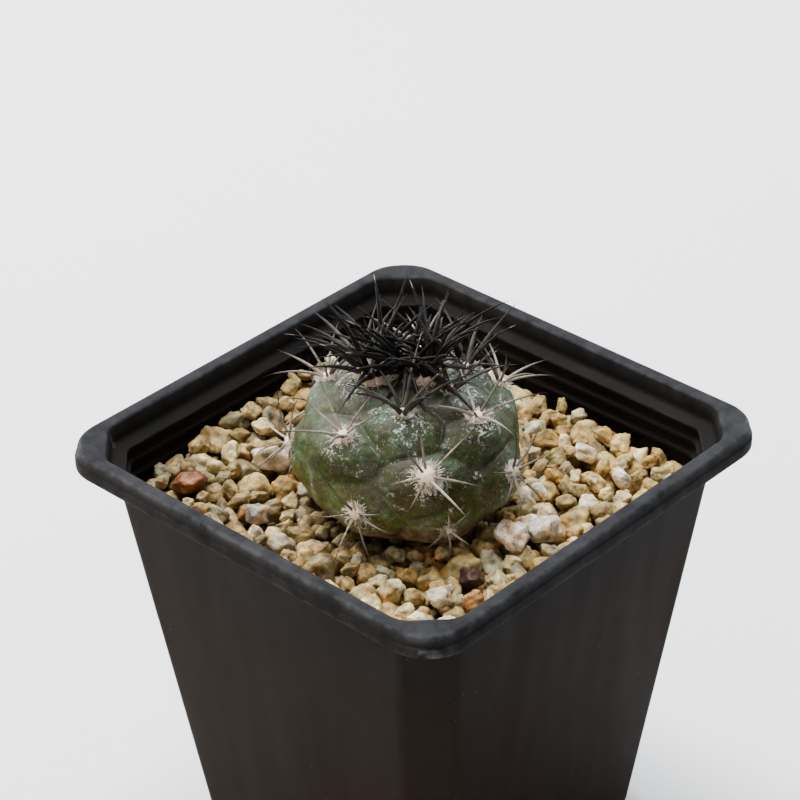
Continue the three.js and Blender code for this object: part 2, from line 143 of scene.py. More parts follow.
def square_ring(half, z, cut, bend, arc=7):
    """Points round a square with flat-cut corners whose eight bends are rounded."""
    if half <= 0:
        return [Vector((0, 0, z))] * (8 * arc)
    inner = half - cut
    bends = [
        (inner, -half), (half, -inner), (half, inner), (inner, half),
        (-inner, half), (-half, inner), (-half, -inner), (-inner, -half),
    ]
    reach = bend * math.tan(math.pi / 8)
    ring = []
    for i, (x, y) in enumerate(bends):
        here = Vector((x, y, z))
        before = Vector((*bends[i - 1], z)) - here
        after = Vector((*bends[(i + 1) % 8], z)) - here
        start = here + before.normalized() * reach
        end = here + after.normalized() * reach
        for step in range(arc):
            t = step / (arc - 1)
            ring.append(start * (1 - t) ** 2 + here * 2 * t * (1 - t) + end * t * t)
    return ring


def soften(corners):
    """Rounds a profile of (half, z, cut, bend, radius) corners into many (half, z, cut, bend)."""
    points = []
    for i, (*here, radius) in enumerate(corners):
        here = np.array(here, float)
        if radius <= 0 or i in (0, len(corners) - 1):
            points.append(here)
            continue
        before = np.array(corners[i - 1][:4], float) - here
        after = np.array(corners[i + 1][:4], float) - here
        span = np.hypot(before[0], before[1]), np.hypot(after[0], after[1])
        start = here + before * min(0.45, radius / span[0])
        end = here + after * min(0.45, radius / span[1])
        for t in (0, 0.25, 0.5, 0.75, 1):
            points.append(start * (1 - t) ** 2 + here * 2 * t * (1 - t) + end * t * t)
    return points


def skin_of_rings(name, rings, place=Vector((0, 0, 0))):
    """A closed smooth mesh through rings of equal length; its first and last ring are single points."""
    count = len(rings[0])
    spots = [rings[0][0]] + [p for ring in rings[1:-1] for p in ring] + [rings[-1][0]]
    faces = []
    for i in range(count):
        j = (i + 1) % count
        faces.append((0, 1 + j, 1 + i))
        for r in range(len(rings) - 3):
            low, high = 1 + r * count, 1 + (r + 1) * count
            faces.append((low + i, low + j, high + j, high + i))
        last = 1 + (len(rings) - 3) * count
        faces.append((last + i, last + j, len(spots) - 1))
    mesh = bpy.data.meshes.new(name)
    mesh.from_pydata([tuple((Vector(p) + place) * MM) for p in spots], [], faces)
    mesh.shade_smooth()
    piece = bpy.data.objects.new(name, mesh)
    bpy.context.scene.collection.objects.link(piece)
    return piece


rim_corner = 8.3 * (2 - math.sqrt(2))
corner = (6.7, 2.75)
inside = (6.2, 2.6)
mouth = (6.9, 4.5)
foot = wall_half(0) - 2.6
profile = [
    (0, 1.6, *corner, 0),
    (foot - 4.4, 1.6, *corner, 0.5),
    (foot - 3.2, 0, *corner, 0.4),
    (wall_half(0), 0, *corner, 3.4),
    (wall_half(SKIRT_FOOT - 1.4), SKIRT_FOOT - 1.4, *corner, 0.4),
    (RIM_HALF - 2.5, SKIRT_FOOT, *corner, 0.4),
    (RIM_HALF - 2.4, SKIRT_FOOT + 2.9, *corner, 0.3),
    (RIM_HALF - 1.1, SKIRT_FOOT + 2.9, rim_corner, 7.3, 0.3),
    (RIM_HALF - 1.1, SKIRT_FOOT, rim_corner, 7.3, 0.25),
    (RIM_HALF, SKIRT_FOOT, rim_corner, 8.3, 0.35),
    (RIM_HALF, SKIRT_FOOT + 2.0, rim_corner, 8.3, 0.25),
    (RIM_HALF - 0.3, SKIRT_FOOT + 2.4, rim_corner, 8.2, 0.25),
    (RIM_HALF - 0.4, POT_TALL, rim_corner, 8.1, 0.7),
    (RIM_HALF - 3.0, POT_TALL - 0.1, *mouth, 0.55),
    (RIM_HALF - 3.5, POT_TALL - 3.6, *mouth, 0.6),
]
for ridge in range(3):
    z = POT_TALL - 4.8 - 2.8 * ridge
    half = wall_half(z) - WALL
    profile.append((half - 0.45, z + 0.35, *inside, 0.3))
    profile.append((half - 0.45, z - 0.35, *inside, 0.3))
    profile.append((half + 0.02, z - 0.95, *inside, 0.35))
    profile.append((half - 0.1, z - 1.85, *inside, 0.35))
profile.append((wall_half(2.8) - WALL, 2.8, *inside, 3))
profile.append((0, 2.8, *inside, 0))
pot = skin_of_rings("nursery_pot", [square_ring(*ring) for ring in soften(profile)])


def drain_slot(turn, length=11, width=3, out=14):
    """A round-ended cutter that stands through the floor."""
    cutter_mesh = bpy.data.meshes.new("slot")
    rounds = []
    for side in (1, -1):
        for step in range(9):
            swing = (step / 8 - 0.5) * math.pi
            x = out + side * ((length - width) / 2 + width / 2 * math.cos(swing))
            rounds.append((x, side * width / 2 * math.sin(swing)))
    build = bmesh.new()
    base = build.faces.new([build.verts.new((x * MM, y * MM, 0.5 * MM)) for x, y in rounds])
    lifted = bmesh.ops.extrude_face_region(build, geom=[base])["geom"]
    lifted_points = [v for v in lifted if isinstance(v, bmesh.types.BMVert)]
    bmesh.ops.translate(build, vec=(0, 0, 4 * MM), verts=lifted_points)
    bmesh.ops.recalc_face_normals(build, faces=build.faces)
    bmesh.ops.rotate(build, cent=(0, 0, 0), matrix=Matrix.Rotation(turn, 3, "Z"), verts=build.verts)
    build.to_mesh(cutter_mesh)
    build.free()
    cutter = bpy.data.objects.new("slot", cutter_mesh)
    bpy.context.scene.collection.objects.link(cutter)
    return cutter


def apply_modifiers(piece):
    """Bakes a piece's modifiers into its own mesh."""
    graph = bpy.context.evaluated_depsgraph_get()
    finished = bpy.data.meshes.new_from_object(piece.evaluated_get(graph))
    piece.modifiers.clear()
    piece.data = finished


slots = [drain_slot((i + 0.5) * math.pi / 4) for i in range(8)]
for slot_cutter in slots:
    cut = pot.modifiers.new("drain", "BOOLEAN")
    cut.object = slot_cutter
    cut.operation = "DIFFERENCE"
apply_modifiers(pot)
for slot_cutter in slots:
    bpy.data.objects.remove(slot_cutter)
pot.data.set_sharp_from_angle(angle=math.radians(50))


def new_material(name):
    """An empty node material; returns it with its tree, its shader and a node maker."""
    material = bpy.data.materials.new(name)
    material.use_nodes = True
    tree = material.node_tree
    shader = tree.nodes["Principled BSDF"]

    def node(kind, inputs=(), **settings):
        made = tree.nodes.new("ShaderNode" + kind)
        for key, value in settings.items():
            setattr(made, key, value)
        for key, value in dict(inputs).items():
            if isinstance(value, bpy.types.NodeSocket):
                tree.links.new(value, made.inputs[key])
            else:
                made.inputs[key].default_value = value
        return made

    return material, tree, shader, node


def noise_of(node, where, scale, detail=4.0, rough=0.55, warp=0.0):
    """A noise value between 0 and 1."""
    made = node("TexNoise", {"Vector": where, "Scale": scale, "Detail": detail,
                             "Roughness": rough, "Distortion": warp})
    return made.outputs[0]


def ramp(node, value, stops):
    """A colour ramp; stops are (place, colour) with grey given as one number."""
    made = node("ValToRGB", {"Fac": value})
    band = made.color_ramp
    while len(band.elements) < len(stops):
        band.elements.new(0.5)
    for element, (place, colour) in zip(band.elements, stops):
        element.position = place
        element.color = (*colour, 1) if isinstance(colour, tuple) else (colour, colour, colour, 1)
    return made.outputs["Color"]


def blend_colour(node, amount, first, second, mode="MIX"):
    """Mixes two colours or values by an amount."""
    made = node("Mix", data_type="RGBA", blend_type=mode)
    for key, value in ((0, amount), (6, first), (7, second)):
        if isinstance(value, bpy.types.NodeSocket):
            made.id_data.links.new(value, made.inputs[key])
        elif key == 0:
            made.inputs[key].default_value = value
        else:
            made.inputs[key].default_value = (*value, 1)
    return made.outputs[2]


def maths(node, how, first, second=0.0, clamp=False):
    """One sum on values."""
    made = node("Math", operation=how, use_clamp=clamp)
    for key, value in ((0, first), (1, second)):
        if isinstance(value, bpy.types.NodeSocket):
            made.id_data.links.new(value, made.inputs[key])
        else:
            made.inputs[key].default_value = value
    return made.outputs[0]


def bump(node, shader, *layers):
    """Stacks bump layers of (height, strength, distance) on a shader."""
    normal = None
    for height, strength, distance in layers:
        inputs = {"Height": height, "Strength": strength, "Distance": distance}
        if normal:
            inputs["Normal"] = normal
        normal = node("Bump", inputs).outputs["Normal"]
    shader.id_data.links.new(normal, shader.inputs["Normal"])


# Black polypropylene: satin, a little cloudy, dust-specked and rubbed pale on edges; the flat of the rim is
# painted lighter grey as a sheen, and the lower walls painted warm brown as a reflection.
plastic, tree, shader, node = new_material("black_polypropylene")
where = node("TexCoord").outputs["Object"]
cloud = noise_of(node, where, 45, 5)
grime = noise_of(node, where, 260, 6, 0.7)
long_way = node("Mapping", {"Vector": where, "Scale": (160, 160, 14)}).outputs[0]
streak = noise_of(node, long_way, 1.0, 4, 0.6)
black = ramp(node, cloud, [(0.3, (0.006, 0.0058, 0.0056)), (0.7, (0.011, 0.01, 0.009))])
height = node("SeparateXYZ", {"Vector": where}).outputs["Z"]
# Painted reflection: the walls are painted warm brown towards the bottom, standing in for a warm reflection from
# below.
painted_reflection_low = node("MapRange", {"Value": height, "From Min": 0.08, "From Max": 0.055}).outputs[0]
black = blend_colour(node, painted_reflection_low, black, (0.0118, 0.0083, 0.006))
# Painted sheen: the flat top of the rim is painted lighter grey, mottled by the grime noise.
rim_top_sheen_mask = node("MapRange", {"Value": height, "From Min": 0.0832, "From Max": 0.0856}).outputs[0]
rim_sheen_and_grime = ramp(node, grime, [(0.35, (0.013, 0.0133, 0.0143)), (0.65, (0.027, 0.0275, 0.03))])
black = blend_colour(node, rim_top_sheen_mask, black, rim_sheen_and_grime)
dust_cells = node("TexVoronoi", {"Vector": where, "Scale": 420.0, "Randomness": 1.0}).outputs["Distance"]
dust_spots = ramp(node, dust_cells, [(0.03, 1.0), (0.075, 0.0)])
dust_field = ramp(node, noise_of(node, where, 90, 3, 0.6), [(0.5, 0.0), (0.68, 1.0)])
dust = maths(node, "MULTIPLY", dust_spots, dust_field)
edge = node("NewGeometry").outputs["Pointiness"]
worn = maths(node, "MULTIPLY", ramp(node, edge, [(0.51, 0.0), (0.56, 1.0)]),
             ramp(node, grime, [(0.4, 0.0), (0.62, 1.0)]))
colour = blend_colour(node, maths(node, "MULTIPLY", dust, 0.5), black, (0.16, 0.15, 0.13))
colour = blend_colour(node, maths(node, "MULTIPLY", worn, 0.5), colour, (0.11, 0.115, 0.12))
tree.links.new(colour, shader.inputs["Base Color"])
satin = ramp(node, streak, [(0.3, 0.42), (0.7, 0.56)])
rough = maths(node, "ADD", satin, maths(node, "MULTIPLY", grime, 0.1))
tree.links.new(rough, shader.inputs["Roughness"])
shader.inputs["Specular IOR Level"].default_value = 0.014
bump(node, shader, (grime, 0.12, 0.0001), (streak, 0.08, 0.0003), (dust, 0.3, 0.0001))
pot.data.materials.clear()
pot.data.materials.append(plastic)
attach(pot, "root")
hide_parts("pot", "pot_rim")

# ---------------------------------------------------------------------------
# Potting mix: dark peat and bark fines with a little perlite, filled in loose and firmed by hand
# under the grit. It shows only through the drain slots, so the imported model's own solid stays.
# ---------------------------------------------------------------------------
peat, tree, shader, node = new_material("peat_mix")
where = node("TexCoord").outputs["Object"]
crumbs = noise_of(node, where, 420, 6, 0.75, 0.6)
fibres = noise_of(node, node("Mapping", {"Vector": where, "Scale": (900, 260, 600)}).outputs[0], 1.0, 4, 0.7)
colour = ramp(node, crumbs, [
    (0.3, (0.008, 0.005, 0.003)), (0.52, (0.035, 0.02, 0.011)), (0.7, (0.1, 0.062, 0.035)),
])
colour = blend_colour(node, 1.0, colour, ramp(node, fibres, [(0.35, 0.6), (0.65, 1.3)]), "MULTIPLY")
perlite = ramp(node, node("TexVoronoi", {"Vector": where, "Scale": 260.0}).outputs["Distance"],
               [(0.14, 1.0), (0.2, 0.0)])
colour = blend_colour(node, perlite, colour, (0.62, 0.6, 0.55))
tree.links.new(colour, shader.inputs["Base Color"])
tree.links.new(ramp(node, crumbs, [(0.3, 0.98), (0.7, 0.8)]), shader.inputs["Roughness"])
bump(node, shader, (crumbs, 1.0, 0.0015), (perlite, 0.6, 0.0006))
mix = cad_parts["potting_mix"]
mix.data.materials.clear()
mix.data.materials.append(peat)

# ---------------------------------------------------------------------------
# Grit: a loose top dressing of washed pumice and decomposed granite, 3 to 7 mm grains.
# Each grain is its own closed stone, dropped in turn into the lowest hollow it finds.
# ---------------------------------------------------------------------------
stem_high = Vector(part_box("cactus_stem")[1]) / MM
STEM_RADIUS = 20.8
STEM_HALF_TALL = 14.3
STEM_FULLNESS = 2.35
stem_middle = Vector((0.5, -2.0, stem_high.z - STEM_HALF_TALL + 0.3))
GRIT_LEVEL = POT_TALL - 12.3
GRIT_DEEP = 9.5
rng = np.random.default_rng(11)


def grit_height(x, y):
    """Height of the grit's surface, which is banked up against the two back walls."""
    half = wall_half(GRIT_LEVEL) - WALL
    steep = lambda gap: 1 - np.clip(gap / 16, 0, 1) ** 2 * (3 - 2 * np.clip(gap / 16, 0, 1))
    left = steep(half + x) * (1 - np.minimum(1, (y / half) ** 2))
    right = steep(half - y) * (1 - np.minimum(1, (x / half) ** 2))
    return GRIT_LEVEL + np.maximum(4.4 * left, 1.2 * right)


def off_stem(points):
    """How far points stand off the body of the plant, roughly, in millimetres."""
    flat = np.hypot(points[:, 0] - stem_middle.x, points[:, 1] - stem_middle.y) / STEM_RADIUS
    tall = np.abs(points[:, 2] - stem_middle.z) / STEM_HALF_TALL
    return ((flat ** STEM_FULLNESS + tall ** STEM_FULLNESS) ** (1 / STEM_FULLNESS) - 1) * STEM_HALF_TALL


def stone_blank(fine, planes):
    """A unit stone: a ball worn down by a few flat faces, with soft edges between them."""
    ball = bmesh.new()
    bmesh.ops.create_icosphere(ball, subdivisions=fine, radius=1)
    spots = np.array([v.co for v in ball.verts])
    faces = np.array([[v.index for v in f.verts] for f in ball.faces])
    ball.free()
    facing = rng.normal(size=(planes, 3))
    facing /= np.linalg.norm(facing, axis=1)[:, None]
    depth = rng.uniform(0.6, 0.9, planes)
    reach = np.maximum(spots @ facing.T, 0) / depth
    crisp = rng.uniform(24, 80)
    size = (np.sum(reach ** crisp, axis=1) + 1) ** (-1 / crisp)
    return spots * size[:, None], faces


def roughen(spots, amount, scale, seed):
    """Moves points in and out by a soft noise, for the dents and swells of a worn stone."""
    shift = Vector((seed * 7.3, seed * 3.1, seed * 5.7))
    wobble = np.array([mathnoise.fractal(Vector(p) * scale + shift, 1.0, 2.1, 3) for p in spots])
    return spots * (1 + amount * wobble)[:, None]


blanks = {}
for fine in (2, 3, 4):
    for kind in range(18):
        spots, faces = stone_blank(fine, int(rng.integers(8, 14)))
        spots = roughen(roughen(spots, 0.2, 1.5, kind), 0.07, 3.4, kind + 40)
        blanks[fine, kind] = roughen(spots, 0.02, 10, kind + 80), faces

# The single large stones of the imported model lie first; the grains then fill in round them.
STONE_LOOKS = {
    "stone_orange_brown": (0.2, 0.075, 0.014),
    "stone_cream_large": (0.78, 0.65, 0.46),
    "stone_speckled": (0.45, 0.41, 0.34),
    "stone_dark": (0.05, 0.02, 0.01),
    "stone_quartz_near": (0.84, 0.76, 0.63),
    "stone_quartz_far": (0.88, 0.83, 0.74),
    "stone_white_back": (0.86, 0.84, 0.8),
    "stone_white_right": (0.8, 0.78, 0.72),
    "stone_orange_small": (0.45, 0.23, 0.08),
    "stone_cream_front": (0.66, 0.55, 0.38),
}
lying = []
for name in STONE_LOOKS:
    low, high = (np.array(c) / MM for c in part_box(name))
    lying.append((*(low + high) / 2, np.mean(high - low) / 2))
lying = np.array(lying)
large_stones = len(lying)

TRIES = 60  # places tried for each grain
GRAINS_POURED = 2300  # most of them find no hollow left and are dropped
for _ in range(GRAINS_POURED):
    radius = float(np.clip(rng.lognormal(math.log(1.95), 0.25), 1.1, 2.9))
    reach = wall_half(GRIT_LEVEL) - WALL - 0.3 - 0.8 * radius
    xy = rng.uniform(-reach, reach, (TRIES, 2))
    xy = xy[np.abs(xy).sum(1) < 2 * reach - 4.5]
    rest = grit_height(xy[:, 0], xy[:, 1]) - GRIT_DEEP + radius
    gap = np.hypot(xy[:, None, 0] - lying[None, :, 0], xy[:, None, 1] - lying[None, :, 1])
    touch = 0.9 * (radius + lying[None, :, 3])
    lift = lying[None, :, 2] + np.sqrt(np.maximum(touch ** 2 - gap ** 2, 0))
    rest = np.maximum(rest, np.where(gap < touch, lift, -1e9).max(1))
    spots = np.column_stack([xy, rest])
    inside = wall_half(rest) - WALL - 0.9 * radius
    rest_of = np.abs(xy).max(1) < inside
    diagonal = np.abs(xy).sum(1) < 2 * inside - 5.5
    over = rest - grit_height(xy[:, 0], xy[:, 1]) + 0.35 * radius
    over[(off_stem(spots) < 0.72 * radius) | ~rest_of | ~diagonal] = 1e9
    best = int(np.argmin(over))
    if over[best] < 0.4:
        lying = np.vstack([lying, [*spots[best], radius]])


def fineness(index):
    """How finely a grain is modelled: the ones on top of the bed best, the buried ones least."""
    x, y, z, radius = lying[index]
    buried = grit_height(x, y) - z - radius
    return 4 if buried < 0.9 else 3 if buried < 3 else 2


def join_stones(name, members, tint_of, squash=(1.22, 1.0, 0.82)):
    """One mesh of many separate stones, each with its own turn, shape and colour."""
    all_spots, all_faces, all_tints, start = [], [], [], 0
    for index in members:
        x, y, z, radius = lying[index]
        spots, faces = blanks[fineness(index), int(rng.integers(18))]
        spin = Matrix.Rotation(rng.uniform(0, math.tau), 3, "Z")
        lean = Matrix.Rotation(rng.normal(0, 0.45), 3, "X") @ Matrix.Rotation(rng.normal(0, 0.45), 3, "Y")
        roll = Matrix.Rotation(rng.uniform(0, math.tau), 3, Vector(rng.normal(size=3)).normalized())
        shape = np.array(squash) * rng.uniform(0.88, 1.14, 3)
        spots = (spots @ np.array(roll).T) * shape * radius * 1.1
        spots = spots @ np.array(spin @ lean).T + (x, y, z)
        clear = wall_half(spots[:, 2]) - WALL - 0.15
        spots[:, :2] = np.clip(spots[:, :2], -clear[:, None], clear[:, None])
        past_corner = np.maximum(np.abs(spots[:, :2]).sum(1) - 2 * clear + 5.2, 0) / 2
        spots[:, :2] -= np.sign(spots[:, :2]) * past_corner[:, None]
        all_spots.append(spots)
        all_faces.append(faces + start)
        all_tints.append(np.tile([*tint_of(index), 1], (len(spots), 1)))
        start += len(spots)
    mesh = bpy.data.meshes.new(name)
    mesh.from_pydata((np.vstack(all_spots) * MM).tolist(), [], np.vstack(all_faces).tolist())
    tint = mesh.color_attributes.new("tint", "FLOAT_COLOR", "POINT")
    tint.data.foreach_set("color", np.vstack(all_tints).astype(np.float32).ravel())
    mesh.shade_smooth()
    piece = bpy.data.objects.new(name, mesh)
    bpy.context.scene.collection.objects.link(piece)
    return piece


# Stone: chalky to glassy grains, ochre stains in the hollows, small dark pits and a fine tooth.
grain_stone, tree, shader, node = new_material("washed_grit")
where = node("TexCoord").outputs["Object"]
tint = node("Attribute", attribute_name="tint").outputs["Color"]
mottle = noise_of(node, where, 420, 5, 0.65)
stain = ramp(node, noise_of(node, where, 230, 4, 0.65, 0.8), [(0.46, 0.0), (0.6, 1.0)])
rust = ramp(node, noise_of(node, where, 330, 4, 0.7, 1.2), [(0.6, 0.0), (0.68, 1.0)])
pits = ramp(node, node("TexVoronoi", {"Vector": where, "Scale": 900.0}).outputs["Distance"],
            [(0.09, 1.0), (0.17, 0.0)])
pits = maths(node, "MULTIPLY", pits, ramp(node, noise_of(node, where, 160, 2), [(0.45, 0.0), (0.6, 1.0)]))
shade = ramp(node, mottle, [(0.3, 0.16), (0.42, 0.52), (0.54, 0.86), (0.68, 1.4)])
colour = blend_colour(node, 1.0, tint, shade, "MULTIPLY")
ochre = blend_colour(node, 1.0, colour, (0.78, 0.5, 0.2), "MULTIPLY")
colour = blend_colour(node, maths(node, "MULTIPLY", stain, 0.75), colour, ochre)
colour = blend_colour(node, maths(node, "MULTIPLY", rust, 0.6), colour, (0.16, 0.085, 0.022))
colour = blend_colour(node, maths(node, "MULTIPLY", pits, 0.7), colour, (0.05, 0.03, 0.018))
tree.links.new(colour, shader.inputs["Base Color"])
tree.links.new(ramp(node, mottle, [(0.3, 0.8), (0.7, 0.36)]), shader.inputs["Roughness"])
shader.inputs["Specular IOR Level"].default_value = 0.28
shader.inputs["Subsurface Weight"].default_value = 0.05
shader.inputs["Subsurface Radius"].default_value = (0.0012, 0.0008, 0.0005)
bump(node, shader, (mottle, 0.5, 0.0008), (pits, 0.7, -0.0004),
     (noise_of(node, where, 1500, 4, 0.65), 0.4, 0.0002))

GRAIN_TINTS = [
    (0.5, 0.37, 0.15), (0.4, 0.3, 0.11), (0.7, 0.58, 0.3), (0.3, 0.235, 0.1),
    (0.36, 0.23, 0.06), (0.4, 0.36, 0.22), (0.9, 0.82, 0.6), (0.26, 0.14, 0.04),
]
TINT_SHARE = [0.22, 0.2, 0.16, 0.14, 0.08, 0.1, 0.07, 0.03]


def grain_tint(index):
    pick = GRAIN_TINTS[int(rng.choice(len(GRAIN_TINTS), p=TINT_SHARE))]
    # Painted light and shade: grains are painted up to about a quarter lighter towards +X+Y and darker towards
    # -X-Y, as light across the bed and the left wall's shade.
    painted_light_rightward = 1 + 0.3 * (lying[index][0] + lying[index][1]) / POT_TALL
    return np.clip(np.array(pick) * rng.uniform(0.8, 1.12) * painted_light_rightward, 0, 0.92)


order = sorted(range(large_stones, len(lying)), key=lambda i: math.atan2(lying[i][1], lying[i][0]))
PARTS = 8
for part in range(PARTS):
    members = order[part * len(order) // PARTS:(part + 1) * len(order) // PARTS]
    grains = join_stones(f"grit_grains_{part + 1}", members, grain_tint)
    grains.data.materials.append(grain_stone)
    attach(grains, "root")
    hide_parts("grit_layer")
for index, (name, look) in enumerate(STONE_LOOKS.items()):
    stone = join_stones(name.replace("stone", "pebble"), [index], lambda _: look)
    stone.data.materials.append(grain_stone)
    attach(stone, "root")
    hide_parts(name)

# ---------------------------------------------------------------------------
# Body of the cactus: one living, flattened globe with low chinned tubercles, grown on a buried
# neck. The skin is waxy and matt, grey-green over olive, limy below the areoles, corky at the foot.
# ---------------------------------------------------------------------------
AREOLES = {
    "crown": [(53, 82), (133, 84), (213, 76), (163, 68), (100, 69)],
    "upper": [(-52, 67), (26, 71), (76, 57), (170, 52)],
    "shoulder": [(-91, 43), (9, 50), (69, 31), (125, 44), (-171, 36)],
    "flank": [(-38, 24), (150, 20), (100, 12)],
    "waist": [(-137, 5), (-73, -2), (12, 5), (122, -2), (-178, 2)],
    "lower": [(-28, -14), (80, -12), (-158, -14)],
}
TUBERCLE_RISE = 1.3


def facing_of(bearing, latitude):
    """Unit vectors on the stem's own globe, from degrees."""
    bearing, latitude = np.radians(bearing), np.radians(latitude)
    level = np.cos(latitude)
    return np.stack([level * np.cos(bearing), level * np.sin(bearing), np.sin(latitude)], -1)


seats = facing_of(*np.array([place for row in AREOLES.values() for place in row], float).T)
chins = facing_of(*(np.array([place for row in AREOLES.values() for place in row], float) - (0, 8)).T)


def relief(facing):
    """Height of the skin over the plain globe, and the masks that its colour follows."""
    apart = np.degrees(np.arccos(np.clip(facing @ chins.T, -1, 1)))
    near = np.sort(apart, axis=1)
    slow = np.array([mathnoise.fractal(Vector(f) * 2.6, 1.0, 2.0, 3) for f in facing])
    edge = np.clip((near[:, 1] - near[:, 0] + 2.5 * slow) / 10, 0, 1)
    crease = (1 - edge) ** 2 * np.clip(near[:, 0] / 12, 0, 1) * np.clip((30 - near[:, 0]) / 14, 0, 1)
    to_seat = np.degrees(np.arccos(np.clip(facing @ seats.T, -1, 1))).min(1)
    hump = np.exp(-((near[:, 0] / 17) ** 2))
    notch = np.exp(-((to_seat / 4.5) ** 2))
    fine = np.array([mathnoise.fractal(Vector(f) * 13, 1.0, 2.0, 3) for f in facing])
    height = TUBERCLE_RISE * (hump * 1.55 - 1) - 0.6 * crease - 0.3 * notch + 0.3 * slow + 0.07 * fine
    return height, crease, near[:, 0], to_seat


def stem_points(bearing, latitude, proud=0.0):
    """Points of the skin in millimetres, for arrays of bearings and latitudes in degrees."""
    height = relief(facing_of(bearing, latitude))[0] + proud
    bend = lambda value: np.sign(value) * np.abs(value) ** (2 / STEM_FULLNESS)
    across = (STEM_RADIUS + height) * bend(np.cos(np.radians(latitude)))
    up = (STEM_HALF_TALL + height) * bend(np.sin(np.radians(latitude)))
    spots = [np.cos(np.radians(bearing)) * across, np.sin(np.radians(bearing)) * across, up]
    return np.stack(spots, -1) + np.array([stem_middle.x, stem_middle.y, stem_middle.z])


ROUND, TALL = 420, 190
turns = np.arange(ROUND) * 360 / ROUND
levels = np.concatenate([np.linspace(-58, 76, TALL - 26), 76 + 13.6 * np.linspace(0.04, 1, 26)])
grid_turn, grid_level = (a.ravel() for a in np.meshgrid(turns, levels))
skin = stem_points(grid_turn, grid_level)
ends = np.array([skin[:ROUND].mean(0) - (0, 0, 3), skin[-ROUND:].mean(0)])
quads = []
for row in range(len(levels) - 1):
    for col in range(ROUND):
        a, b = row * ROUND + col, row * ROUND + (col + 1) % ROUND
        quads.append((a, b, b + ROUND, a + ROUND))
tip_row = (len(levels) - 1) * ROUND
for col in range(ROUND):
    after = (col + 1) % ROUND
    quads.append((len(skin), after, col))
    quads.append((len(skin) + 1, tip_row + col, tip_row + after))
mesh = bpy.data.meshes.new("cactus_body")
mesh.from_pydata((np.vstack([skin, ends]) * MM).tolist(), [], quads)
mesh.shade_smooth()
_, crease, chin_gap, _ = relief(facing_of(grid_turn, grid_level))
limy = np.exp(-(((chin_gap - 3) / 7.5) ** 2))
corky = np.clip((-9 - grid_level) / 11, 0, 1)
for name, values in (("crease", crease), ("limy", limy), ("corky", corky)):
    layer = mesh.attributes.new(name, "FLOAT", "POINT")
    layer.data.foreach_set("value", np.append(values, [values[0], values[-1]]).astype(np.float32))
body = bpy.data.objects.new("cactus_body", mesh)
bpy.context.scene.collection.objects.link(body)

skin_stuff, tree, shader, node = new_material("cactus_skin")
where = node("TexCoord").outputs["Object"]
mask = lambda name: node("Attribute", attribute_name=name).outputs["Fac"]
patches = noise_of(node, where, 130, 4, 0.55, 0.8)
speckle = noise_of(node, where, 900, 4, 0.65)
green = ramp(node, patches, [
    (0.34, (0.028, 0.031, 0.006)), (0.44, (0.038, 0.052, 0.009)), (0.52, (0.041, 0.064, 0.015)),
    (0.57, (0.046, 0.074, 0.034)), (0.7, (0.076, 0.116, 0.077)),
])
purple = ramp(node, noise_of(node, where, 190, 4, 0.65, 0.8), [(0.48, 0.0), (0.57, 1.0)])
colour = blend_colour(node, maths(node, "MULTIPLY", purple, 0.7), green, (0.045, 0.032, 0.02))
colour = blend_colour(node, 1.0, colour,
                      ramp(node, speckle, [(0.3, 0.5), (0.5, 0.88), (0.7, 1.5)]), "MULTIPLY")
# Painted light and shade by height: the lower body is painted up to 3.6 times lighter as bounce light, and the
# top is painted darker to tone down its lit side.
rise = node("MapRange", {"Value": node("SeparateXYZ", {"Vector": where}).outputs["Z"],
                         "From Min": (stem_middle.z - 7) * MM,
                         "From Max": (stem_middle.z + 13) * MM}).outputs[0]
painted_light_by_height = ramp(node, rise, [(0.0, (3.6, 3.2, 3.2)), (0.55, (1.0, 1.0, 1.0)), (1.0, (0.68, 0.72, 0.68))])
colour = blend_colour(node, 1.0, colour, painted_light_by_height, "MULTIPLY")
# Painted shade: the creases between the tubercles are darkened.
colour = blend_colour(node, maths(node, "MULTIPLY", mask("crease"), 0.6), colour, (0.022, 0.02, 0.011))
line = maths(node, "MULTIPLY", ramp(node, mask("crease"), [(0.3, 0.0), (0.42, 1.0), (0.55, 0.0)]),
             ramp(node, noise_of(node, where, 240, 2), [(0.5, 0.0), (0.62, 1.0)]))
colour = blend_colour(node, maths(node, "MULTIPLY", line, 0.25), colour, (0.4, 0.4, 0.33))
flakes = ramp(node, noise_of(node, where, 1700, 3, 0.75), [(0.52, 0.0), (0.57, 1.0)])
dots = ramp(node, noise_of(node, where, 2600, 2, 0.6), [(0.66, 0.0), (0.71, 1.0)])
clumps = ramp(node, noise_of(node, where, 420, 4, 0.7, 1.0), [(0.49, 0.0), (0.54, 1.0)])
lime = maths(node, "MULTIPLY", maths(node, "MULTIPLY", flakes, clumps), mask("limy"))
stray = maths(node, "MULTIPLY", flakes,
              ramp(node, noise_of(node, where, 300, 3, 0.6), [(0.6, 0.0), (0.68, 0.8)]))
lime = maths(node, "MAXIMUM", maths(node, "MAXIMUM", lime, stray), maths(node, "MULTIPLY", dots, 0.35))
colour = blend_colour(node, maths(node, "MULTIPLY", lime, 0.9), colour, (0.75, 0.76, 0.7))
bloom = maths(node, "MULTIPLY", mask("limy"), ramp(node, patches, [(0.4, 0.0), (0.7, 0.12)]))
colour = blend_colour(node, bloom, colour, (0.28, 0.33, 0.3))
cork = ramp(node, noise_of(node, where, 500, 5, 0.7), [
    (0.3, (0.045, 0.03, 0.016)), (0.5, (0.13, 0.09, 0.05)), (0.7, (0.3, 0.24, 0.17)),
])
ragged = maths(node, "ADD", mask("corky"), maths(node, "SUBTRACT", noise_of(node, where, 260, 3), 0.5))
colour = blend_colour(node, ramp(node, ragged, [(0.3, 0.0), (0.6, 1.0)]), colour, cork)
tree.links.new(colour, shader.inputs["Base Color"])
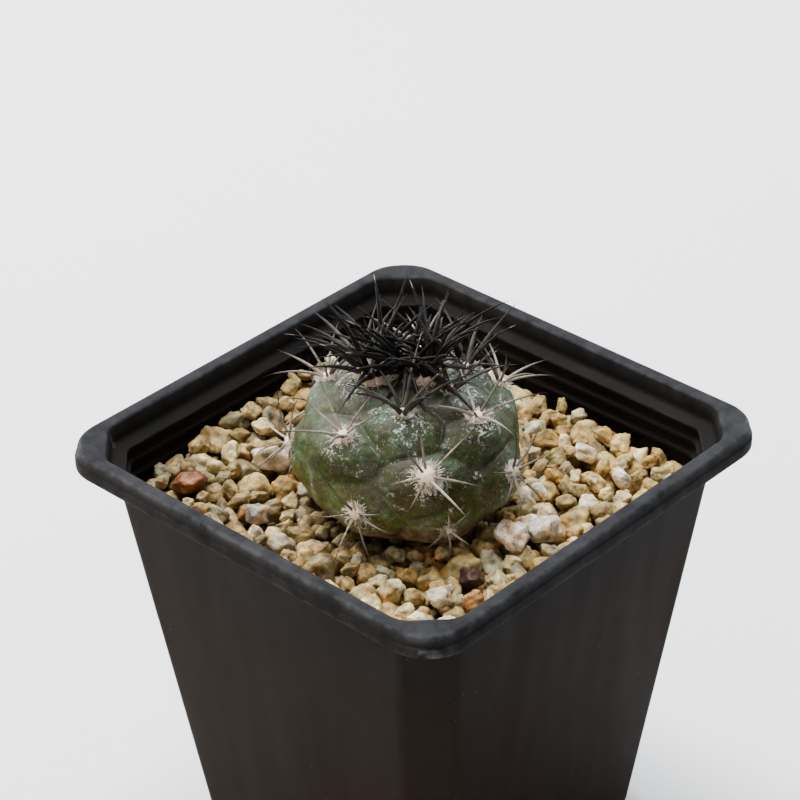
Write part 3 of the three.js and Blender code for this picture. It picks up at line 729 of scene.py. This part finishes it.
tree.links.new(ramp(node, speckle, [(0.3, 0.45), (0.7, 0.65)]), shader.inputs["Roughness"])
shader.inputs["Specular IOR Level"].default_value = 0.25
shader.inputs["Subsurface Weight"].default_value = 0.08
shader.inputs["Subsurface Radius"].default_value = (0.0006, 0.0009, 0.0004)
wrinkle = noise_of(node, where, 700, 4, 0.6, 0.4)
bump(node, shader, (wrinkle, 0.35, 0.0005), (speckle, 0.25, 0.0002), (lime, 0.5, 0.0002))
body.data.materials.append(skin_stuff)
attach(body, "root")
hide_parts("cactus_stem")

# ---------------------------------------------------------------------------
# Areoles: each a pad of short cream wool, felted to the tip of a tubercle, that carries a fan of
# stiff horn spines. Young spines are near black; old ones weather from the base to bone grey.
# ---------------------------------------------------------------------------
ROW_STYLE = {  # spine count, length, half thickness, lean, paleness, wool size
    "crown": (8, 15, 0.58, 50, 0.03, 3.9),
    "upper": (8, 13.5, 0.42, 55, 0.08, 2.2),
    "shoulder": (7, 12, 0.3, 62, 0.45, 2.3),
    "flank": (7, 11, 0.27, 64, 0.5, 3.3),
    "waist": (7, 9.5, 0.25, 70, 0.6, 2.4),
    "lower": (6, 6, 0.23, 76, 0.6, 1.4),
}
SPINE_SIDES = 10
SPINE_STEPS = 16
CROWN_EXTRA = 10  # more spines in each crown areole, at any turn
SPINE_ARCH = 0.1  # bow of a spine that lies flat, as a share of its length
CROWN_ARCH = 0.17
spine_rng = random.Random(5)


def seat_of(bearing, latitude):
    """Where an areole sits, with the directions out, up the stem and to the right."""
    top = min(latitude, 86)
    east = np.subtract(*stem_points(np.array([bearing + 3.0, bearing - 3.0]), np.array([top, top], float)))
    north = np.subtract(*stem_points(np.array([bearing, bearing], float), np.array([top + 3.0, top - 3.0])))
    out = Vector(np.cross(east, north)).normalized()
    level = Vector((-math.sin(math.radians(bearing)), math.cos(math.radians(bearing)), 0))
    upward = out.cross(level).normalized()
    place = Vector(stem_points(np.array([float(bearing)]), np.array([float(latitude)]))[0])
    return place, out, upward, upward.cross(out)


def spine_rings(start, along, bow, length, thick):
    """Rings of a horn spine: swollen at its foot, then a long taper, bowed away from the skin."""
    rings = []
    control = start + along * length * 0.5 + bow * length
    finish = start + along * length
    for step in range(SPINE_STEPS + 1):
        t = step / SPINE_STEPS
        middle = start * (1 - t) ** 2 + control * 2 * t * (1 - t) + finish * t * t
        heading = ((control - start) * (1 - t) + (finish - control) * t).normalized()
        girth = thick * (1 - t) ** 0.75 * (1 + 0.4 * math.exp(-((t / 0.05) ** 2))) + 0.015
        side = heading.orthogonal().normalized()
        other = heading.cross(side)
        rings.append([middle + side * girth * math.cos(a) + other * girth * math.sin(a)
                      for a in (k * math.tau / SPINE_SIDES for k in range(SPINE_SIDES))])
    return rings


def spine_colour(along, pale, weathered_tip):
    """Pale at the foot of an old spine, dark towards its point; a few young ones have bleached tips."""
    old = pale * max(0.0, min(1.0, (0.9 - along) / 0.45))
    if weathered_tip and along > 0.88:
        old = 0.5
    dark, light = (0.0035, 0.0034, 0.0037), (0.47, 0.395, 0.32)
    return [d + (c - d) * max(0.0, old) for d, c in zip(dark, light)]


def add_tube(spots, faces, tints, rings, tint_at):
    """Adds one closed tube to a growing mesh."""
    start, sides = len(spots), len(rings[0])
    for row, ring in enumerate(rings):
        spots.extend(ring)
        tints.extend([(*tint_at(row / (len(rings) - 1)), 1)] * sides)
    for row in range(len(rings) - 1):
        for k in range(sides):
            a, b = start + row * sides + k, start + row * sides + (k + 1) % sides
            faces.append((a, b, b + sides, a + sides))
    faces.append(tuple(start + k for k in reversed(range(sides))))
    faces.append(tuple(start + (len(rings) - 1) * sides + k for k in range(sides)))


def tinted_piece(name, spots, faces, tints, stuff):
    """A smooth object from millimetre points, faces and a colour for each point."""
    mesh = bpy.data.meshes.new(name)
    mesh.from_pydata([tuple(Vector(s) * MM) for s in spots], [], faces)
    tint = mesh.color_attributes.new("tint", "FLOAT_COLOR", "POINT")
    tint.data.foreach_set("color", np.array(tints, np.float32).ravel())
    mesh.shade_smooth()
    mesh.materials.append(stuff)
    piece = bpy.data.objects.new(name, mesh)
    bpy.context.scene.collection.objects.link(piece)
    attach(piece, "root")
    return piece


# Horn: fine lengthwise streaks and a dull sheen.
horn, tree, shader, node = new_material("spine_horn")
where = node("TexCoord").outputs["Object"]
tint = node("Attribute", attribute_name="tint").outputs["Color"]
streak = noise_of(node, where, 1500, 3, 0.6)
colour = blend_colour(node, 1.0, tint, ramp(node, streak, [(0.3, 0.65), (0.7, 1.3)]), "MULTIPLY")
tree.links.new(colour, shader.inputs["Base Color"])
shader.inputs["Roughness"].default_value = 0.5
shader.inputs["Specular IOR Level"].default_value = 0.1
bump(node, shader, (streak, 0.3, 0.0001))

# Wool: soft, dry and a little translucent.
wool, tree, shader, node = new_material("areole_wool")
tint = node("Attribute", attribute_name="tint").outputs["Color"]
tree.links.new(tint, shader.inputs["Base Color"])
shader.inputs["Roughness"].default_value = 0.95
shader.inputs["Sheen Weight"].default_value = 0.4
shader.inputs["Subsurface Weight"].default_value = 0.3
shader.inputs["Subsurface Radius"].default_value = (0.0008, 0.0006, 0.0004)

for row, places in AREOLES.items():
    count, reach, thick, lean_out, paleness, tuft = ROW_STYLE[row]
    for number, (bearing, latitude) in enumerate(places, 1):
        name = f"{row}_{number}"
        place, out, upward, right = seat_of(bearing, latitude)
        fan = [
            (k * 360 / count + spine_rng.uniform(-16, 16), lean_out + spine_rng.uniform(-12, 12),
             reach * spine_rng.uniform(0.8, 1.15), min(0.95, paleness * spine_rng.uniform(0.4, 1.7)))
            for k in range(count)
        ]
        if row == "crown":
            fan = [(turn, lean, length, pale * 0.2) for turn, lean, length, pale in fan]
            fan += [
                (spine_rng.uniform(0, 360), spine_rng.uniform(45, 98), reach * spine_rng.uniform(0.7, 1.1), 0.02)
                for _ in range(CROWN_EXTRA)
            ]
        spots, faces, tints = [], [], []
        for turn, lean, length, pale in fan:
            turn, lean = math.radians(turn), math.radians(lean)
            flat = upward * math.cos(turn) + right * math.sin(turn)
            along = out * math.cos(lean) + flat * math.sin(lean)
            arch = CROWN_ARCH if row == "crown" else SPINE_ARCH
            lift = (out - along * out.dot(along)).normalized() * (0.05 + arch * math.sin(lean))
            lift += Vector([spine_rng.uniform(-0.04, 0.04) for _ in range(3)])
            start = place + out * 0.25 + flat * 0.45
            girth = thick * spine_rng.uniform(0.8, 1.15) * (0.75 + 0.25 * min(1, length / reach))
            tipped = row in ("crown", "upper") and spine_rng.random() < 0.15
            add_tube(spots, faces, tints, spine_rings(start, along, lift, length, girth),
                     lambda t, p=pale, w=tipped: spine_colour(t, p, w))
        fan_piece = tinted_piece(f"spines_{name}", spots, faces, tints, horn)
        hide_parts(f"areole_{name}")

        spots, faces, tints = [], [], []
        rings = []
        for step in range(8):
            polar = math.pi * (0.04 + 0.92 * step / 7)
            across, rise = math.sin(polar) * tuft * 0.55, -math.cos(polar) * tuft * 0.4
            ring = []
            for k in range(18):
                flat = upward * math.cos(k * math.tau / 18) + right * math.sin(k * math.tau / 18)
                lump = 1 + 0.28 * mathnoise.noise((place + flat * across) * 2.1)
                ring.append(place + out * (rise * lump + 0.15) + flat * across * lump)
            rings.append(ring)
        felt = (0.7, 0.54, 0.37) if row == "crown" else (0.85, 0.72, 0.56)
        add_tube(spots, faces, tints, rings, lambda t: felt)
        hairs = int(190 * tuft)
        for _ in range(hairs):
            around, far = spine_rng.uniform(0, math.tau), spine_rng.random() ** 0.6 * tuft * 0.66
            flat = upward * math.cos(around) + right * math.sin(around)
            start = place + flat * far - out * 0.25
            lean = 0.25 + 0.9 * far / tuft + spine_rng.uniform(-0.2, 0.35)
            along = (out * math.cos(lean) + flat * math.sin(lean)).normalized()
            curl = Vector([spine_rng.uniform(-0.5, 0.5) for _ in range(3)])
            length = tuft ** 0.4 * spine_rng.uniform(0.4, 0.9)
            shade = spine_rng.uniform(0.75, 1.05)
            warm = (0.95 * shade, 0.88 * shade, 0.79 * shade)
            if spine_rng.random() < (0.3 if row == "crown" else 0.17):
                warm = (0.5 * shade, 0.31 * shade, 0.15 * shade)
            rings = []
            for step in range(4):
                t = step / 3
                middle = start + along * length * t + curl * t * t * length
                girth = 0.1 * (1 - 0.7 * t)
                side = along.orthogonal().normalized()
                other = along.cross(side)
                rings.append([middle + side * girth * math.cos(a) + other * girth * math.sin(a)
                              for a in (0, math.tau / 3, 2 * math.tau / 3)])
            add_tube(spots, faces, tints, rings, lambda t, w=warm: w)
        tinted_piece(f"wool_{name}", spots, faces, tints, wool)
